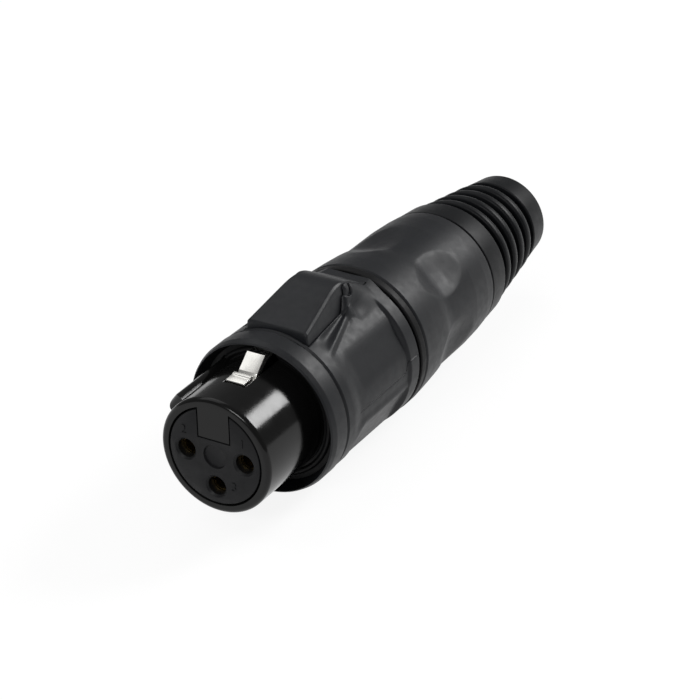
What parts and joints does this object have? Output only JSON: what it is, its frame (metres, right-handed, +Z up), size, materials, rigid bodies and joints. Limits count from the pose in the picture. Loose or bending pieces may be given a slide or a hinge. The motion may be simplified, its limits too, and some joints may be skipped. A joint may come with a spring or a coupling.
{
  "type": "female xlr connector",
  "caption": "Female cable connector: round nose with a sprung latch and push button, soft grip jacket, gland nut and ribbed cable boot.",
  "frame": {"origin": "centre of the mating face, on the connector's axis", "axes": "+Y along the axis towards the cable, +Z up towards the latch and its button, +X to the right seen from the front"},
  "size_m": [0.0252, 0.0889, 0.0284],
  "materials": {
    "black_metal": "glossy black plating over die-cast metal",
    "insert_plastic": "black moulded plastic, fine satin",
    "gold": "thin gold plating, bright",
    "nickel": "bright nickel plating on sheet metal",
    "sleeve_plastic": "plain natural plastic",
    "pin_steel": "ground steel",
    "spring_steel": "bare spring steel",
    "soft_grip": "charcoal soft-touch elastomer, fine grain",
    "seal_rubber": "dark seal rubber, smooth",
    "chuck_plastic": "dark acetal, satin",
    "boot_rubber": "charcoal rubber, fine grain"
  },
  "bodies": {
    "shell": {"nose_shell": "black_metal", "contact_insert": "insert_plastic", "contact_1": "gold", "contact_2": "gold", "contact_3": "gold", "earth_clip": "nickel", "insulating_sleeve": "sleeve_plastic", "latch_pin": "pin_steel", "latch_spring": "spring_steel", "grip_jacket": "soft_grip", "bell_seal": "seal_rubber", "rear_seal": "seal_rubber", "chuck": "chuck_plastic", "cable_seal": "seal_rubber"},
    "button": {"button_pad": "soft_grip", "button_plunger": "insert_plastic"},
    "latch": {"latch": "nickel"},
    "washer": {"thrust_washer": "sleeve_plastic"},
    "nut": {"gland_nut": "insert_plastic", "nut_grip": "soft_grip", "boot": "boot_rubber"}
  },
  "joints": [
    {"name": "button_press", "type": "hinge", "parent": "shell", "child": "button", "pos_m": [0, 0.0362, 0.012], "axis": [1, 0, 0], "range_deg": [0, 3], "stiffness_Nm_per_rad": 0.2, "springref_deg": -2.86},
    {"name": "latch_pivot", "type": "hinge", "parent": "shell", "child": "latch", "pos_m": [0, 0.03, 0.009], "axis": [1, 0, 0], "range_deg": [0, 4.84], "stiffness_Nm_per_rad": 0.1, "springref_deg": -2.86, "deforming": ["latch_spring"]},
    {"name": "washer_travel", "type": "slide", "parent": "shell", "child": "washer", "axis": [0, 1, 0], "range_m": [0, 0.006]},
    {"name": "nut_turn", "type": "hinge", "parent": "washer", "child": "nut", "pos_m": [0, 0.06, 0], "axis": [0, 1, 0], "range_deg": [0, 1440]}
  ],
  "couplings": [
    {"joint": "latch_pivot", "follows": "button_press", "ratio": 1.611},
    {"joint": "nut_turn", "follows": "washer_travel", "rad_per_m": 4188.8}
  ]
}
